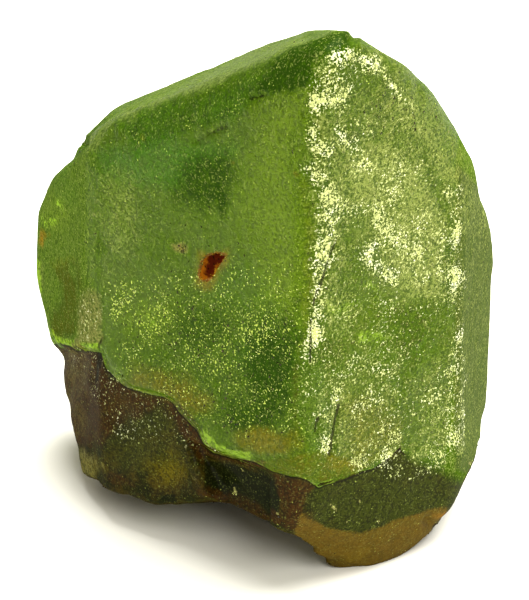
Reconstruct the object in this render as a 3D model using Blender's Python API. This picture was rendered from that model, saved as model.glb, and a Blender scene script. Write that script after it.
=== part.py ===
"""Peridot crystal: a stout olivine prism with a roofed top, broken from its matrix at the foot.

Metres, +Z up, -Y to the front, where the two big prism faces meet in an upright edge.
The tables are in millimetres and degrees, and z = 0 is the ground that the crystal stands on.
The crystal is one grown piece, so it is one object: crystal.
Everything else here is a cutter or a block that the crystal is made from, and is hidden.
"""

import math

import bmesh
import bpy
from mathutils import Vector

MM = 0.001

# The flat faces. A face is (bearing, tilt, distance): the way that it looks seen from above, with
# 0 to the front and 90 to the right, how far it leans back to look up, and its distance from HEART.
HEART = Vector((0.0, 0.0, 17.9))

# Moves the tables' zero point so that the origin is under the middle of the crystal's box.
CENTRING = Vector((0.24, -0.49, 0.0))

PRISM = {
    "front left": (-41, 1.4, 7.2),
    "front right": (40, -1.4, 10.2),
    "right": (74, -0.7, 11.7),
    "right back": (110, 1, 14.15),
    "back right": (141, -1, 11.4),
    "back": (-178, 0, 11.3),
    "back left": (-139, 2, 14.2),
    "left": (-83, 1.3, 10.1),
}
ROOF = {
    "roof bevel": (-55, 24.6, 9.7),
    "roof left": (-117, 59.8, 10.0),
    "roof left end": (-106, 41, 11.1),
    "roof apex": (24, 33.7, 17.6),
    "roof right a": (57, 18.6, 13.7),
    "roof right b": (63, 13.4, 12.6),
    "roof right c": (67, 6.5, 12.0),
    "roof back left": (-165, 53, 9.35),
    "roof back a": (127, 52, 11.35),
    "roof back b": (111, 32.5, 11.55),
    "roof back c": (113, 24.6, 11.45),
}
FOOT = {
    "foot front": (34, -22, 14.6),
    "foot right": (63.4, -35.4, 18.2),
    "right low": (85, -28.7, 17.4),
    "back low": (165, -35, 17.6),
}

# The shoulder stands a little behind the left end of the prism, and the lump sticks out below it.
SHOULDER = {
    "front": (-41, 1.4, 7.05),
    "side": (-73, 2.5, 9.9),
    "top": (-102.6, 34.2, 11.2),
    "low": (-88, -27, 15.1),
    "back left": (-142, 3, 16.0),
    "back": (176, 2, 10.9),
    "inside": (90, 0, -9.0),
    "under the roof": (-117, 59.8, 9.8),
}
LUMP = {
    "front": (-41, 1.4, 7.0),
    "left": (-71, -0.7, 9.75),
    "left back": (-106, -21.5, 16.9),
    "back left": (-139, -6, 15.2),
    "back": (178, -3, 10.6),
    "inside": (49, 0, -3.0),
}
LUMP_TOP = 10.4

# The core is what shows below the outer layer, where that has broken away. The tongue is a smooth
# flake mark just above the broken edge.
CORE = {
    "front left": (-41, 1.4, 6.65),
    "front right": (35.4, -1.7, 10.1),
    "left": (-71, -0.7, 9.4),
    "left back": (-106, -21.5, 16.5),
    "back left": (-139, -6, 14.8),
    "column foot": (15, -32, 15.5),
}
TONGUE_BED = {
    "front left": (-41, 1.4, 6.98),
    "front right": (40, -1.4, 11.0),
}

# Cutters: the dark hollow between the lump and the corner column, and the open arch below it.
HOLLOW = {
    "wall": (139, 14, -8.5),
    "lump side": (-131, -27, 4.7),
    "column side": (49, 0, 6.4),
    "lip": (0, 90, -10.3),
    "open front": (-41, 0, 12.0),
}
ARCH = {
    "ceiling": (139, 61, -15.2),
    "lump side": (-131, 0, -1.4),
    "foot side": (49, -2, 7.7),
    "open front": (-41, 0, 12.0),
}
TOE_LEFT = {
    "ceiling": (153.5, 70, -16.5),
    "column side": (49, 0, 1.5),
    "open front": (-41, 0, 12.0),
}
TOE_RIGHT = {
    "ceiling": (-170.6, 58.8, -14.4),
    "column side": (49, 0, 1.5),
    "open front": (-41, 0, 12.0),
}

# The broken lower edge of the outer layer. Behind: (bearing seen from the middle, distance from
# the middle, height). In front: (x, height) on the two front faces, from left to right.
LEDGE_BEHIND = [(-130, 14.5, 2.4), (-124, 15, 5.9), (-112, 15.5, 8.7), (-100, 14.5, 10.1), (-93, 13.4, 10.6)]
LEDGE_LEFT = [(-11.9, 10.9), (-10.6, 11.1), (-9.5, 11.4), (-9.2, 11.1), (-9, 10.5), (-8, 9.9), (-6.6, 10.1)]
LEDGE_MIDDLE = [(-5.6, 10.2), (-5, 10), (-4.2, 9.3), (-3.6, 8.9), (-3.3, 8.2), (-2.8, 7.9), (-1.8, 8.1)]
LEDGE_CORNER = [(-0.4, 8.5), (0.4, 8.3), (1.7, 8.5), (2.3, 8.3), (3, 7.4), (4.1, 7.3), (5.3, 7.3)]
LEDGE_RIGHT = [(6, 7.3), (6.8, 7.5), (7.7, 8), (8.5, 8.5)]
TONGUE = [(-2.6, 8.1), (-1.7, 8.4), (-0.2, 8.9), (1, 9.4), (1.9, 9.8), (2.6, 9.9)]

# Cracks that are open at the surface: (x, height) on the front faces, from the top down.
CRACK_WIDTH = 0.2
CRACK_DEPTH = 0.4
CRACKS = {
    "corner crack": [(3.9, 22.9), (3.1, 19.5), (2.75, 17.3), (2.6, 15)],
    "low crack": [(4.1, 11.6), (3.85, 10.2), (3.6, 9)],
    "left crack": [(-9.1, 15.7), (-9.1, 13.6), (-9.2, 12.2), (-9.1, 11.4)],
}

# Shell-shaped breaks and pits: (middle of the mark, bearing, tilt, depth, radius of the ball).
BREAKS = {
    "rust pit": ((-2.8, -7.15, 19.3), -41, 0, 0.35, 1.1),
    "small pit": ((-4.5, -5.65, 19.7), -41, 10, 0.2, 0.6),
    "lump break": ((-8.1, -2.2, 7.0), -48, 5, 0.3, 4.0),
    "lump hollow": ((-5.4, -4.4, 5.1), -35, -8, 0.3, 5.0),
    "chip": ((12.0, 0.2, 3), 80, -20, 0.45, 1.6),
    "back edge break": ((5.1, 10.6, 7.7), 158, -10, 0.8, 9.0),
    "back left break": ((-9.6, 9.6, 19.5), -150, 25, 0.7, 9.0),
    "under break": ((-9.0, 7.5, 0.6), -125, -55, 1.1, 9.0),
    "under right break": ((9.0, 4.0, 0.6), 100, -58, 0.9, 9.0),
    "under hollow": ((0.5, 2.5, 0.0), 20, -86, 0.5, 10.0),
}

# Low growth plates on the faces behind: the (bearing, tilt, distance) of the plate, and its corners
# as (distance along the face, height above HEART), clockwise.
PLATES = {
    "back plate": ((-178, 0, 11.55), [(-2.6, -9), (-3.2, -2.5), (-1.4, 0.5), (2.6, 1.6), (4.2, -5), (2, -10)]),
    "back right plate": ((141, -1, 11.65), [(-2, -6), (-2.4, 1.5), (0.5, 4.6), (3.4, 3.4), (3.1, -4)]),
}

# Softening of the convex edges: the widths that are cut off them, one after the other.
EDGE_CUTS = (0.9, 0.35)


def facing(bearing, tilt):
    """The unit vector that a face with this bearing and tilt looks along."""
    turn = math.radians(bearing)
    lean = math.radians(tilt)
    return Vector((math.sin(turn) * math.cos(lean), -math.cos(turn) * math.cos(lean), math.sin(lean)))


def cut_flat(bm, point, normal):
    """Cuts a convex shape along a plane, keeps what is behind it and closes the cut with one face."""
    everything = bm.verts[:] + bm.edges[:] + bm.faces[:]
    cut = bmesh.ops.bisect_plane(
        bm, geom=everything, dist=1e-7, plane_co=point, plane_no=normal, clear_outer=True
    )
    rim = [item for item in cut["geom_cut"] if isinstance(item, bmesh.types.BMEdge)]
    if len(rim) > 2:
        bmesh.ops.contextual_create(bm, geom=rim)
    bm.normal_update()


def soften(bm, width):
    """Cuts a narrow flat along each edge that turns by more than 10 degrees."""
    cuts = []
    for edge in bm.edges:
        first, second = (face.normal for face in edge.link_faces)
        turn = first.angle(second)
        middle = (edge.verts[0].co + edge.verts[1].co) / 2
        if turn > math.radians(10) and middle.z > 0.5 * MM:
            normal = (first + second).normalized()
            cuts.append((middle - normal * width * MM / 2 * math.tan(turn / 2), normal))
    for point, normal in cuts:
        cut_flat(bm, point, normal)


def convex(faces, low=-1, high=40, softened=()):
    """A convex block bounded by the faces, and by level planes at the heights low and high."""
    bm = bmesh.new()
    bmesh.ops.create_cube(bm, size=100 * MM)
    for bearing, tilt, distance in faces:
        normal = facing(bearing, tilt)
        cut_flat(bm, (HEART + normal * distance) * MM, normal)
    cut_flat(bm, Vector((0, 0, low)) * MM, Vector((0, 0, -1)))
    cut_flat(bm, Vector((0, 0, high)) * MM, Vector((0, 0, 1)))
    for width in softened:
        soften(bm, width)
    return bm


def on_front(x, z):
    """The point of the two front prism faces at this x and height."""
    depths = []
    for name in ("front left", "front right"):
        bearing, tilt, distance = PRISM[name]
        normal = facing(bearing, tilt)
        reach = distance + normal.dot(HEART)
        depths.append((reach - normal.x * x - normal.z * z) / normal.y)
    return Vector((x, max(depths), z))


def from_middle(bearing, distance, z):
    """The point this far from the middle of the crystal, seen from above, at this height."""
    way = facing(bearing, 0)
    return Vector((way.x * distance, way.y * distance, z))


def tube(rings):
    """A closed mesh through rings of points that all have the same number of points."""
    bm = bmesh.new()
    loops = [[bm.verts.new(point * MM) for point in ring] for ring in rings]
    sides = len(rings[0])
    for one, two in zip(loops, loops[1:]):
        for k in range(sides):
            m = (k + 1) % sides
            bm.faces.new((one[k], one[m], two[m], two[k]))
    bm.faces.new(loops[0])
    bm.faces.new(loops[-1])
    bmesh.ops.triangulate(bm, faces=bm.faces)
    return bm


def skirt(edge):
    """The space under a broken edge, from well inside the crystal to well outside it."""
    rings = []
    for point in edge:
        inner = Vector((point.x * 0.5, point.y * 0.5, point.z))
        outer = Vector((point.x * 1.4, point.y * 1.4, point.z))
        rings.append([inner, outer, Vector((outer.x, outer.y, -1)), Vector((inner.x, inner.y, -1))])
    return tube(rings)


def wedge(line):
    """A wedge along a crack, sharp at the bottom and thinned out at both ends."""
    rings = []
    for k, (x, z) in enumerate(line):
        point = on_front(x, z)
        bearing = -41 if on_front(x + 0.01, z).y < point.y else 40
        out = facing(bearing, 0)
        along = facing(bearing + 90, 0)
        end = k in (0, len(line) - 1)
        half = CRACK_WIDTH * (0.3 if end else 1)
        deep = CRACK_DEPTH * (0.2 if end else 1)
        lip = point + out * 0.5 * CRACK_WIDTH
        rings.append([lip + along * half, point - out * deep, lip - along * half])
    return tube(rings)


def plate(face, corners):
    """A thin growth plate that stands on a face, with sides that slope a little."""
    bearing, tilt, distance = face
    out = facing(bearing, tilt)
    along = facing(bearing + 90, 0)
    up = along.cross(out) * (1 if along.cross(out).z > 0 else -1)
    rings = []
    for scale, depth in ((1.0, 0), (1.12, -1)):
        base = HEART + out * (distance + depth)
        rings.append([base + along * x * scale + up * z * scale for x, z in corners])
    return tube(rings)


def ball(middle, bearing, tilt, depth, radius):
    """A ball that takes a shallow, shell-shaped break out of a face."""
    bm = bmesh.new()
    bmesh.ops.create_icosphere(bm, subdivisions=4 if radius > 2 else 2, radius=radius * MM)
    centre = Vector(middle) + facing(bearing, tilt) * (radius - depth)
    bmesh.ops.translate(bm, verts=bm.verts, vec=centre * MM)
    return bm


def add_object(name, bm, helper=True):
    mesh = bpy.data.meshes.new(name)
    bmesh.ops.recalc_face_normals(bm, faces=bm.faces)
    bm.to_mesh(mesh)
    bm.free()
    made = bpy.data.objects.new(name, mesh)
    bpy.context.scene.collection.objects.link(made)
    if helper:
        made.hide_render = True
        made.display_type = "WIRE"
    return made


def combine(base, other, operation):
    step = base.modifiers.new(operation.lower() + " " + other.name, "BOOLEAN")
    step.operation = operation
    step.solver = "EXACT"
    step.object = other


def peridot():
    material = bpy.data.materials.new("peridot")
    material.use_nodes = True
    shader = material.node_tree.nodes["Principled BSDF"]
    shader.inputs["Base Color"].default_value = (0.18, 0.30, 0.035, 1.0)
    shader.inputs["Roughness"].default_value = 0.42
    shader.inputs["IOR"].default_value = 1.67
    return material


def main():
    for old in list(bpy.data.objects):
        bpy.data.objects.remove(old)

    whole = [*PRISM.values(), *ROOF.values(), *FOOT.values()]
    crystal = add_object("crystal", convex(whole, low=0, softened=EDGE_CUTS), helper=False)
    crystal.data.materials.append(peridot())
    combine(crystal, add_object("shoulder", convex(SHOULDER.values(), 0, 40, EDGE_CUTS)), "UNION")
    combine(crystal, add_object("lump", convex(LUMP.values(), 0, LUMP_TOP)), "UNION")
    for name, (face, corners) in PLATES.items():
        combine(crystal, add_object(name, plate(face, corners)), "UNION")

    behind = [from_middle(*place) for place in LEDGE_BEHIND]
    front = LEDGE_LEFT + LEDGE_MIDDLE + LEDGE_CORNER + LEDGE_RIGHT
    lost_layer = add_object("lost layer", skirt(behind + [on_front(x, z) for x, z in front]))
    combine(lost_layer, add_object("core", convex(CORE.values(), -2, 20)), "DIFFERENCE")
    combine(crystal, lost_layer, "DIFFERENCE")

    lost_skin = add_object("lost skin", skirt([on_front(x, z) for x, z in TONGUE]))
    combine(lost_skin, add_object("tongue bed", convex(TONGUE_BED.values(), -2, 20)), "DIFFERENCE")
    combine(crystal, lost_skin, "DIFFERENCE")

    combine(crystal, add_object("hollow", convex(HOLLOW.values())), "DIFFERENCE")
    combine(crystal, add_object("arch", convex(ARCH.values())), "DIFFERENCE")
    combine(crystal, add_object("toe left", convex(TOE_LEFT.values())), "DIFFERENCE")
    combine(crystal, add_object("toe right", convex(TOE_RIGHT.values())), "DIFFERENCE")
    for name, line in CRACKS.items():
        combine(crystal, add_object(name, wedge(line)), "DIFFERENCE")
    for name, mark in BREAKS.items():
        combine(crystal, add_object(name, ball(*mark)), "DIFFERENCE")
    tidy = crystal.modifiers.new("merge points that meet", "WELD")
    tidy.merge_threshold = 0.003 * MM

    place = bpy.data.objects.new("place", None)
    bpy.context.scene.collection.objects.link(place)
    place.location = CENTRING * MM
    for made in list(bpy.data.objects):
        if made.type == "MESH":
            made.parent = place


main()
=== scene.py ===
"""Looks of the peridot crystal: its etched surface, frost, stains, cracks and grains, in soft light.

Marks are placed by where they show in the photograph's frame (529 by 600 pixels). Each point of the
crystal's surface knows the pixel that it falls on, and keeps how strong each mark is there. Sides
that the photograph doesn't show get the same marks from noise. Lengths are in millimetres, and MM
turns them into metres.
"""

import itertools
import math

import bmesh
import bpy
import numpy as np
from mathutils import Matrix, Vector
from mathutils.bvhtree import BVHTree


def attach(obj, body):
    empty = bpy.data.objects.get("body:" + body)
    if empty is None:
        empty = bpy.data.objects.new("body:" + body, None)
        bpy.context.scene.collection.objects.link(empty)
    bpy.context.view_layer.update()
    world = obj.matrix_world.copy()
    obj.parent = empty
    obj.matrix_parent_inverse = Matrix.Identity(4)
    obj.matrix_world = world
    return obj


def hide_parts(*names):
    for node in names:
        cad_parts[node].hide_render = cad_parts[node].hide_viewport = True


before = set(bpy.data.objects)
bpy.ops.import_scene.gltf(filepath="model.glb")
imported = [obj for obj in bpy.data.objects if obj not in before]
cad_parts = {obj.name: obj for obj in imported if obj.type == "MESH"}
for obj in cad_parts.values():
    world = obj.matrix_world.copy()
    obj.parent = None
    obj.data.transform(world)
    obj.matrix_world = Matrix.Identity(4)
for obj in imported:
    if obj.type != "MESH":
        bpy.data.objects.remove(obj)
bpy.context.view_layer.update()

MM = 0.001

# Camera: the photograph's frame, and the angle and distance that it was taken from.
WIDTH, HEIGHT = 529, 600
LENS, SENSOR = 200.0, 36.0
FOCAL = HEIGHT * LENS / SENSOR
ELEVATION = math.radians(25)
AIM = Vector((0.24, -0.49, 13.9))
DISTANCE = 191.67
BACK = Vector((0, -math.cos(ELEVATION), math.sin(ELEVATION)))
UP = Vector((0, math.sin(ELEVATION), math.cos(ELEVATION)))
EYE = AIM + BACK * DISTANCE
PIXEL = DISTANCE / FOCAL

# Light: the paper's colour, and the colour and strength of the light from all round.
PAPER = (0.95, 0.945, 0.9, 1)
ROOM_COLOUR = (1, 0.95, 0.74, 1)
ROOM_STRENGTH = 0.48

# Relief of the surface. Fineness is the width of the even faces that the crystal is remade with.
# The solid is narrower than the photograph's outline. The thickening makes up for part of it, and
# the swellings in dents() for more.
FINENESS = 0.19
RELIEF = {
    "Swell Height": 0.1,
    "Swell Size": 3.2,
    "Pit Depth": 0.13,
    "Pit Size": 0.8,
    "Crust Height": 0.16,
    "Crust Size": 0.42,
    "Shell Height": 0.05,
    "Crack Depth": 0.16,
    "Dent Depth": 0.55,
    "Thickening": 0.09,
}
ROUNDING_STEPS = 18
# Scales of the noises that choose where pits are, and that draw the shell-shaped breaks.
PIT_PATCHES = 420
SHELLS = 190


def make_camera():
    """The camera that took the photograph's frame."""
    camera = bpy.data.objects.new("camera", bpy.data.cameras.new("camera"))
    bpy.context.scene.collection.objects.link(camera)
    camera.data.lens = LENS
    camera.data.sensor_width = SENSOR
    camera.data.clip_start = 0.005
    camera.data.clip_end = 10
    camera.location = EYE * MM
    camera.rotation_euler = (math.pi / 2 - ELEVATION, 0, 0)
    bpy.context.scene.camera = camera


def ramp(low, high, value):
    """0 below low, 1 above high, and smooth between them. High may be the smaller of the two."""
    t = np.clip((value - low) / (high - low), 0, 1)
    return t * t * (3 - 2 * t)


def clouds(points, size, seed, octaves=3):
    """Smooth noise, about -1 to 1, whose largest swells are this wide."""
    total = np.zeros(len(points))
    for octave in range(octaves):
        cell = points / size * 2**octave + seed * 7.31
        corner = np.floor(cell).astype(np.int64)
        part = cell - corner
        part = part * part * (3 - 2 * part)
        for step in itertools.product((0, 1), repeat=3):
            at = corner + np.array(step)
            mixed = at[:, 0] * 73856093 ^ at[:, 1] * 19349663 ^ at[:, 2] * 83492791
            mixed = mixed ^ (seed + octave) * 2654435
            mixed = (mixed ^ (mixed >> 13)) * 1274126177 & 0xFFFFFFFF
            value = ((mixed ^ (mixed >> 16)) & 0xFFFF) / 32767.5 - 1
            share = np.prod(np.where(step, part, 1 - part), axis=1)
            total += value * share / 2**octave
    return total


class Skin:
    """The crystal's surface points, and where they fall in the photograph's frame."""

    def __init__(self, mesh):
        count = len(mesh.vertices)
        points = np.empty(count * 3)
        normals = np.empty(count * 3)
        mesh.vertices.foreach_get("co", points)
        mesh.vertices.foreach_get("normal", normals)
        self.points = points.reshape(-1, 3) / MM
        self.normals = normals.reshape(-1, 3)
        away = self.points - np.array(EYE)
        depth = -away @ np.array(BACK)
        self.x = WIDTH / 2 + FOCAL * away[:, 0] / depth
        self.y = HEIGHT / 2 - FOCAL * (away @ np.array(UP)) / depth
        look = -away / np.linalg.norm(away, axis=1)[:, None]
        self.facing = np.sum(self.normals * look, axis=1)
        self.shown = ramp(0.0, 0.18, self.facing)
        # Outlines of soft marks wander a little, as grown and etched ones do.
        self.soft_x = self.x + 6 * clouds(self.points, 2.6, 1) + 2.5 * clouds(self.points, 0.7, 2)
        self.soft_y = self.y + 6 * clouds(self.points, 2.6, 3) + 2.5 * clouds(self.points, 0.7, 4)

    def blot(self, x, y, across, tall, turn=0, fade=0.7, soft=True):
        """An oval mark, full in its middle, and fading over this share of its radius."""
        c, s = math.cos(math.radians(turn)), math.sin(math.radians(turn))
        dx = (self.soft_x if soft else self.x) - x
        dy = (self.soft_y if soft else self.y) - y
        reach = np.hypot((dx * c - dy * s) / across, (dx * s + dy * c) / tall)
        return ramp(1, 1 - fade, reach)

    def blots(self, *ovals, fade=0.7, soft=True):
        """Several ovals added up. Each has its strength first."""
        return sum(share * self.blot(*oval, fade=fade, soft=soft) for share, *oval in ovals)

    def distance(self, outline, closed, soft):
        """Pixels to a line, or to a closed outline, where points inside it are below 0."""
        x, y = (self.soft_x, self.soft_y) if soft else (self.x, self.y)
        ends = outline[1:] + outline[:1] if closed else outline[1:]
        nearest = np.full(len(x), 1e9)
        crossings = np.zeros(len(x), int)
        for (x0, y0), (x1, y1) in zip(outline, ends):
            dx, dy = x1 - x0, y1 - y0
            t = np.clip(((x - x0) * dx + (y - y0) * dy) / (dx * dx + dy * dy), 0, 1)
            nearest = np.minimum(nearest, np.hypot(x - x0 - t * dx, y - y0 - t * dy))
            if closed:
                between = (y0 > y) != (y1 > y)
                crossings += between & (x < x0 + (y - y0) * dx / (dy if dy else 1e-9))
        return np.where(crossings % 2 == 1, -nearest, nearest)

    def patch(self, *outline, fade=8, soft=True):
        """A mark with this outline, whose edge fades over this many pixels."""
        return ramp(fade / 2, -fade / 2, self.distance(list(outline), True, soft))

    def stroke(self, *line, width=8, fade=0.7, soft=True):
        """A mark along a line."""
        return ramp(width, width * (1 - fade), self.distance(list(line), False, soft))


# The broken edge of the outer layer, as it shows in the photograph's frame.
LEDGE = [
    (60, 343), (80, 348), (98, 350), (103, 356), (108, 368), (125, 385), (148, 391), (165, 395),
    (175, 402), (180, 410), (190, 420), (200, 430), (205, 443), (215, 452), (232, 457), (257, 460),
    (272, 469), (295, 475), (305, 476), (318, 486), (322, 483), (338, 479), (359, 471), (372, 467),
    (385, 458), (400, 445),
]
BELOW_LEDGE = [
    (400, 450), (412, 458), (440, 470), (462, 482), (500, 474), (500, 620), (0, 620), (20, 343),
]
# How high the edge runs round the hidden sides, in millimetres, by the bearing in degrees.
LEFT_EDGE = ((-179, -150, -130, -124, -112, -100, -93), (1, 1.5, 2.4, 5.9, 8.7, 10.1, 10.6))
RIGHT_EDGE = ((50, 70, 110, 179), (8.4, 5.5, 2.5, 1))
# The right face of the foot, the stained rim above the edge, the side of the arch, and the thin
# tongue of the outer layer that hangs over the hollow.
FOOT_FACE = [
    (304, 486), (400, 446), (500, 440), (500, 500), (446, 512), (376, 534), (316, 530),
]
RIM_STAIN = [(133, 362), (192, 372), (215, 405), (200, 412), (165, 392), (125, 384)]
ARCH = [(203, 486), (240, 490), (281, 516), (284, 534), (240, 512), (203, 500)]
TONGUE = [
    (250, 460), (294, 456), (318, 448), (345, 458), (368, 466), (354, 475), (322, 484), (304, 477),
    (268, 471),
]
RUST_LEAF = [
    (229, 253), (218, 251), (206, 254), (201, 261), (198, 273), (199, 280), (208, 282), (215, 277),
    (219, 268), (225, 260),
]
# The inclusion's profile, from its foot in the pit to its top: share of the outline, and height.
RUST_RINGS = ((0.98, -0.3), (1.02, -0.04), (0.94, 0.05), (0.78, 0.09), (0.56, 0.12), (0.3, 0.13))
CRACKS = [
    [(336, 240), (328, 262), (318, 292), (314, 305), (311, 327), (311, 362)],
    [(339, 405), (334, 427), (329, 455)],
    [(318, 418), (315, 431)],
    [(103, 336), (98, 346), (98, 365), (95, 381)],
    [(101, 352), (100, 368)],
    [(197, 141), (210, 134), (226, 126)],
    [(250, 99), (266, 95)],
]
# Pixels from the broken edge at which the stored mark "under" reaches 0 and 1, and from a crack's
# line at which the mark "crack" ends.
REACH = 20
CRACK_REACH = 4.5


def under_ledge(skin):
    """How far below the broken edge a point is, in pixels, and below 0 above the edge."""
    front = -skin.distance(LEDGE + BELOW_LEDGE, True, False)
    bearing = np.degrees(np.arctan2(skin.points[:, 0], -skin.points[:, 1]))
    edge = np.where(bearing > -90, np.interp(bearing, *RIGHT_EDGE), np.interp(bearing, *LEFT_EDGE))
    behind = (edge + 1.3 * clouds(skin.points, 3.5, 33) - skin.points[:, 2]) / PIXEL
    return np.where(skin.shown > 0.5, front, behind)


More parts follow.
